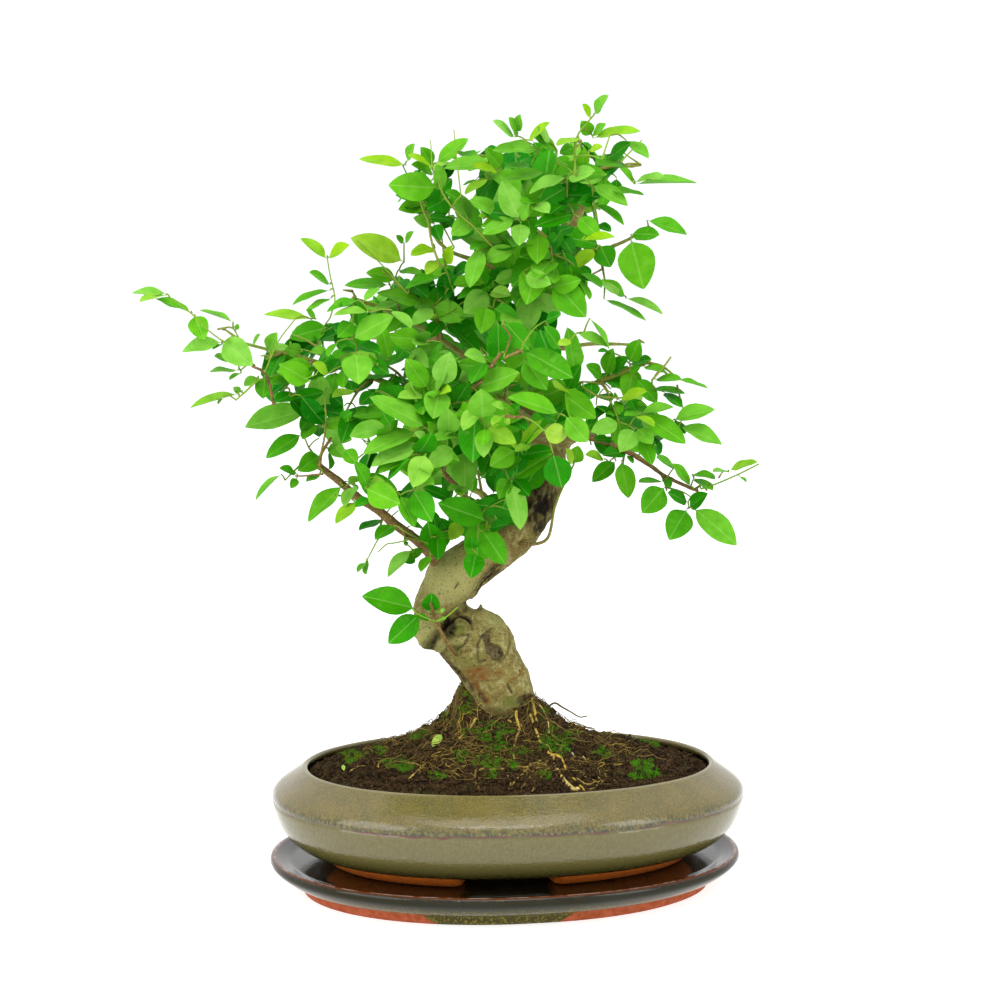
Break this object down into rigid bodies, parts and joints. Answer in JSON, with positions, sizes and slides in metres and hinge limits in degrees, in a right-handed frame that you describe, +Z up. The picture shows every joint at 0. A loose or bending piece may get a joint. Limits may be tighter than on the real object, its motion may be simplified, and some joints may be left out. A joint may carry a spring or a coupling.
{
  "type": "chinese privet bonsai",
  "caption": "Small S-shaped privet tree with a broad leafy crown, rooted in a mound of peat in an oval glazed pot that stands on an oval saucer.",
  "frame": {"origin": "centre of the flat underside of the saucer, on the table", "axes": "+Z up along the tree, +X along the pot's long side to the right of its front view, -Y towards the viewer of the front"},
  "size_m": [0.3839, 0.2534, 0.4976],
  "materials": {
    "pot_glaze": "olive-khaki reactive glaze with golden-brown speckle over terracotta",
    "saucer_glaze": "dark brown-grey glossy glaze over bare terracotta at the base",
    "screen_plastic": "dark plastic mesh",
    "peat": "dark brown peat with fine tan rootlets",
    "bark": "smooth olive-grey bark with scars and cracks",
    "leaf": "fresh green leaves with a paler midrib, satin sheen",
    "moss": "short green moss"
  },
  "bodies": {
    "root": {"saucer": "saucer_glaze", "pot": "pot_glaze", "drain_screen_left": "screen_plastic", "drain_screen_right": "screen_plastic", "soil": "peat", "trunk": "bark", "moss_left": "moss", "moss_right": "moss", "moss_edge": "moss", "spray_back_end": "leaf", "spray_back_left_end": "leaf", "spray_back_left_over": "leaf", "spray_back_over": "leaf", "spray_back_right_end": "leaf", "spray_back_right_side": "leaf", "spray_back_under": "leaf", "spray_crown_left_end": "leaf", "spray_crown_right_end": "leaf", "spray_front_end": "leaf", "spray_front_left_end": "leaf", "spray_front_left_side": "leaf", "spray_front_over": "leaf", "spray_front_under": "leaf", "spray_leader": "leaf", "spray_left_drooping": "leaf", "spray_left_end": "leaf", "spray_left_foot": "leaf", "spray_left_front": "leaf", "spray_left_middle": "leaf", "spray_left_over": "leaf", "spray_left_under": "leaf", "spray_low_back_end": "leaf", "spray_low_back_side": "leaf", "spray_low_left_end": "leaf", "spray_low_left_hanging": "leaf", "spray_low_left_inner": "leaf", "spray_low_left_side": "leaf", "spray_low_left_under": "leaf", "spray_low_middle_end": "leaf", "spray_low_middle_side": "leaf", "spray_low_right_end": "leaf", "spray_low_right_hanging": "leaf", "spray_low_right_side": "leaf", "spray_right_back_end": "leaf", "spray_right_end": "leaf", "spray_right_side": "leaf", "spray_top_back_end": "leaf", "spray_top_front_end": "leaf", "spray_top_front_under": "leaf", "spray_top_left_end": "leaf", "spray_top_left_side": "leaf", "spray_top_left_under": "leaf", "spray_top_right_end": "leaf", "spray_top_right_under": "leaf", "spray_upper_left_end": "leaf", "spray_upper_left_middle": "leaf", "spray_upper_left_side": "leaf", "trunk_sprout": "leaf", "whip_shoot": "leaf"}
  },
  "joints": []
}
